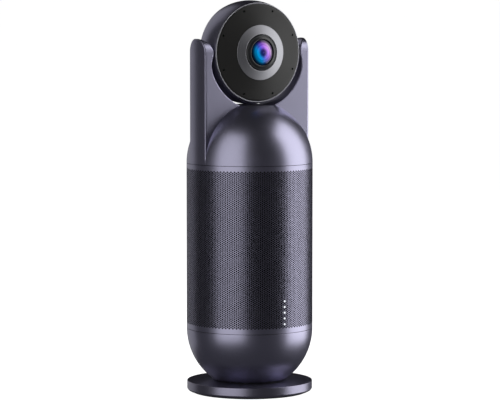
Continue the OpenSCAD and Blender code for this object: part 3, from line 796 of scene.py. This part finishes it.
# ---- Front lens ----
# A domed glass element. The reflections of its coating and of the groups behind it, cyan, blue,
# violet and pink, are painted reflections in its colour, over a dark middle and a dark rim that are
# painted as well.
coated, coat_tree, coat_shader, coat_where = new_material(
    "coated_glass", (0.05, 0.05, 0.2), 0.0, 0.12, 0.2)
coat_shader.inputs["Coat Roughness"].default_value = 0.05
coat_shader.inputs["Specular IOR Level"].default_value = 0.2


def ramp(tree, value, stops):
    """Colours along a value from 0 to 1."""
    node = tree.nodes.new("ShaderNodeValToRGB")
    tree.links.new(value, node.inputs["Fac"])
    points = node.color_ramp.elements
    while len(points) < len(stops):
        points.new(0.5)
    for point, (place, colour) in zip(points, stops):
        point.position = place
        point.color = (*colour, 1)
    return node.outputs["Color"]


def make_painted_reflection_effect():
    """Painted reflections: colour bands across the lens, darkened to the middle and the rim, with a
    bright ring between.
    """
    band_slope, band_reach = Vector((0.72, 0.42)), 0.75
    group, start, end = effect("lens_painted_reflection", [("Vector", VECTOR, None)], [("Colour", COLOUR)])
    flat, length = from_lens_axis(group, start.outputs["Vector"])
    slant = group.nodes.new("ShaderNodeVectorMath")
    slant.operation = "DOT_PRODUCT"
    slant.inputs[1].default_value = (*band_slope / (lens_r * mm), 0)
    group.links.new(flat, slant.inputs[0])
    across = group.nodes.new("ShaderNodeMapRange")
    across.inputs["From Min"].default_value = -band_reach
    across.inputs["From Max"].default_value = band_reach
    group.links.new(slant.outputs["Value"], across.inputs["Value"])
    bands = ramp(group, across.outputs["Result"],
                 [(0.0, (0.0, 0.05, 0.16)), (0.12, (0.0, 0.2, 0.42)), (0.28, (0.0, 0.34, 0.8)),
                  (0.45, (0.06, 0.12, 0.68)), (0.6, (0.3, 0.12, 0.8)), (0.76, (0.62, 0.24, 0.95)),
                  (0.9, (0.95, 0.6, 1.0)), (1.0, (0.4, 0.16, 0.7))])
    outward = group.nodes.new("ShaderNodeMapRange")
    outward.inputs["From Max"].default_value = lens_r * mm
    group.links.new(length, outward.inputs["Value"])
    rings = ramp(group, outward.outputs["Result"],
                 [(0.0, (0.3, 0.3, 0.34)), (0.13, (0.1, 0.1, 0.14)), (0.24, (0.22, 0.2, 0.26)),
                  (0.36, (0.7, 0.7, 0.72)), (0.5, (1.0, 1.0, 1.0)), (0.6, (0.55, 0.55, 0.6)),
                  (0.7, (0.6, 0.6, 0.62)), (0.82, (0.16, 0.16, 0.18)), (0.95, (0.01, 0.01, 0.015))])
    colour = group.nodes.new("ShaderNodeMix")
    colour.data_type, colour.blend_type = "RGBA", "MULTIPLY"
    colour.inputs["Factor"].default_value = 1.0
    group.links.new(bands, colour.inputs[6])
    group.links.new(rings, colour.inputs[7])
    group.links.new(colour.outputs[2], end.inputs["Colour"])
    return group


reflection_paint = coat_tree.nodes.new("ShaderNodeGroup")
reflection_paint.node_tree = make_painted_reflection_effect()
coat_tree.links.new(coat_where, reflection_paint.inputs["Vector"])
coat_tree.links.new(reflection_paint.outputs["Colour"], coat_shader.inputs["Base Color"])
# The painted reflections are also made to glow, though the lens is no lamp.
coat_tree.links.new(reflection_paint.outputs["Colour"], coat_shader.inputs["Emission Color"])
coat_shader.inputs["Emission Strength"].default_value = 0.55
cap_r, cap_top, cap_back, element_r = 24.7, 20.0, 14, lens_r - 0.05
cap_side = math.degrees(math.acos(element_r / cap_r))
cap = turned([(0, cap_back), (element_r, cap_back)]
             + arc((0, cap_top - cap_r), cap_r, cap_side, 90, 24), 96)
add_piece("front_element", on_head(cap), coated, "head", ["front_lens"], 50)

# ---- Parts kept as they are ----
# Sockets, drives, boards, bearings and the rest of the works keep their CAD shape and get
# the finish of their material.


def grained(name, base, other, metallic, rough_low, rough_high, scale, height=0.0, coat=0.0):
    """A finish whose colour and gloss vary a little over the surface."""
    material, tree, shader, where = new_material(name, base, metallic, rough_low, coat)
    grain = noise(tree, where, scale, 4.0)
    tree.links.new(blended(tree, grain, base, other), shader.inputs["Base Color"])
    tree.links.new(spread(tree, grain, rough_low, rough_high), shader.inputs["Roughness"])
    if height:
        bump(tree, shader, grain, 0.3, height)
    return material


finishes = {
    "body_paint": body_paint,
    "base_paint": base_paint,
    "front_black": front_black,
    "bright_trim": bright_trim,
    "bezel_metal": bezel_metal,
    "coated_glass": coated,
    "light_pipe": led_white,
    "black_plastic": grained("black_plastic", (0.016, 0.016, 0.018), (0.026, 0.026, 0.029),
                             0.0, 0.42, 0.6, 900.0, 0.00004),
    "rubber": grained("rubber", (0.012, 0.012, 0.013), (0.022, 0.022, 0.024),
                      0.0, 0.7, 0.9, 500.0, 0.00006),
    "speaker_cone": grained("speaker_cone", (0.02, 0.02, 0.022), (0.035, 0.035, 0.038),
                            0.0, 0.6, 0.8, 700.0, 0.00008),
    "magnet": grained("magnet", (0.06, 0.06, 0.065), (0.1, 0.1, 0.11), 0.3, 0.5, 0.7, 300.0),
    "circuit_board": grained("circuit_board", (0.01, 0.07, 0.035), (0.015, 0.1, 0.05),
                             0.0, 0.3, 0.45, 250.0, 0.0, 0.4),
    "steel": grained("steel", (0.4, 0.4, 0.42), (0.55, 0.55, 0.57), 1.0, 0.28, 0.42, 800.0),
    "aluminium": grained("aluminium", (0.55, 0.55, 0.57), (0.68, 0.68, 0.7), 1.0, 0.3, 0.45, 600.0),
    "brass": grained("brass", (0.5, 0.36, 0.13), (0.62, 0.46, 0.18), 1.0, 0.25, 0.4, 500.0),
}
slot_of_node = {part["node"]: part["material_slot"] for part in frame["record"]["subparts"]}
for name, node in frame["nodes"].items():
    node.data.materials.clear()
    node.data.materials.append(finishes[slot_of_node[name]])

# ---- Studio ----
# A pale floor and three tall soft lights: left of the camera, at the right side, and behind
# the left shoulder. The dim surround is a little brighter below, as over a pale table. The
# floor and the white that is seen beyond it light nothing.
scene.view_settings.view_transform = "Standard"
camera_yaw, camera_pitch = math.radians(-33.21), math.radians(4.59)
camera_far, camera_high, camera_side = 2.10703, 0.32181, 0.00032
toward = Vector((math.sin(camera_yaw), -math.cos(camera_yaw), 0))
right = Vector((math.cos(camera_yaw), math.sin(camera_yaw), 0))
ahead = (-toward * math.cos(camera_pitch) - Vector((0, 0, math.sin(camera_pitch)))).normalized()
above = right.cross(ahead)
camera_data = bpy.data.cameras.new("camera")
camera_data.sensor_width, camera_data.lens = 36.0, 191.664
camera_data.clip_start, camera_data.clip_end = 0.01, 100
camera = bpy.data.objects.new("camera", camera_data)
camera.matrix_world = (Matrix.Translation(toward * camera_far + right * camera_side
                                          + Vector((0, 0, camera_high)))
                       @ Matrix((right, above, -ahead)).transposed().to_4x4())
scene.collection.objects.link(camera)
scene.camera = camera

floor_mesh = bpy.data.meshes.new("floor")
floor_shape = bmesh.new()
bmesh.ops.create_grid(floor_shape, x_segments=1, y_segments=1, size=60)
floor_shape.to_mesh(floor_mesh)
floor_shape.free()
floor = bpy.data.objects.new("floor", floor_mesh)
floor_pale, _, floor_shader, _ = new_material("floor_pale", (0.8, 0.8, 0.8), 0.0, 0.9)
floor_shader.inputs["Specular IOR Level"].default_value = 0.0
floor_shader.inputs["Emission Color"].default_value = (1, 1, 1, 1)
floor_shader.inputs["Emission Strength"].default_value = 1.0
floor_mesh.materials.append(floor_pale)
floor.visible_glossy = floor.visible_diffuse = floor.visible_shadow = False
scene.collection.objects.link(floor)

light_middle, light_tall, light_far = 0.72, 2.3, 1.3


def soft_light(name, bearing, width, power, lean=0):
    """A tall light facing the object; its bearing is in degrees right of the camera."""
    turn = math.radians(bearing)
    outward = toward * math.cos(turn) + right * math.sin(turn)
    data = bpy.data.lights.new(name, "AREA")
    data.shape, data.size, data.size_y = "RECTANGLE", width, light_tall
    data.energy = power
    light = bpy.data.objects.new(name, data)
    place = outward * light_far + Vector((0, 0, light_middle))
    light.matrix_world = (Matrix.Translation(place)
                          @ (-outward).to_track_quat("-Z", "Y").to_matrix().to_4x4()
                          @ Matrix.Rotation(math.radians(lean), 4, "Z"))
    light.visible_camera = False
    scene.collection.objects.link(light)


soft_light("left_light", -36, 1.3, 10.6)
soft_light("right_light", 96.5, 1.32, 19.5, 6)
soft_light("back_light", -140, 1.1, 3.1)

world = bpy.data.worlds.new("surround")
world.use_nodes = True
scene.world = world
air = world.node_tree
surround = air.nodes["Background"]
seen = air.nodes.new("ShaderNodeLightPath")
tone = air.nodes.new("ShaderNodeMix")
tone.data_type = "RGBA"
tone.inputs[7].default_value = (1, 1, 1, 1)
way = air.nodes.new("ShaderNodeSeparateXYZ")
air.links.new(air.nodes.new("ShaderNodeTexCoord").outputs["Generated"], way.inputs["Vector"])
upward = air.nodes.new("ShaderNodeMapRange")
upward.inputs["From Min"].default_value = -1.0
air.links.new(way.outputs["Z"], upward.inputs["Value"])
dim = ramp(air, upward.outputs["Result"],
           [(0.25, (0.05, 0.05, 0.056)), (0.5, (0.032, 0.032, 0.036)),
            (0.68, (0.004, 0.004, 0.005)), (1.0, (0.003, 0.003, 0.003))])
air.links.new(dim, tone.inputs[6])
air.links.new(seen.outputs["Is Camera Ray"], tone.inputs["Factor"])
air.links.new(tone.outputs[2], surround.inputs["Color"])
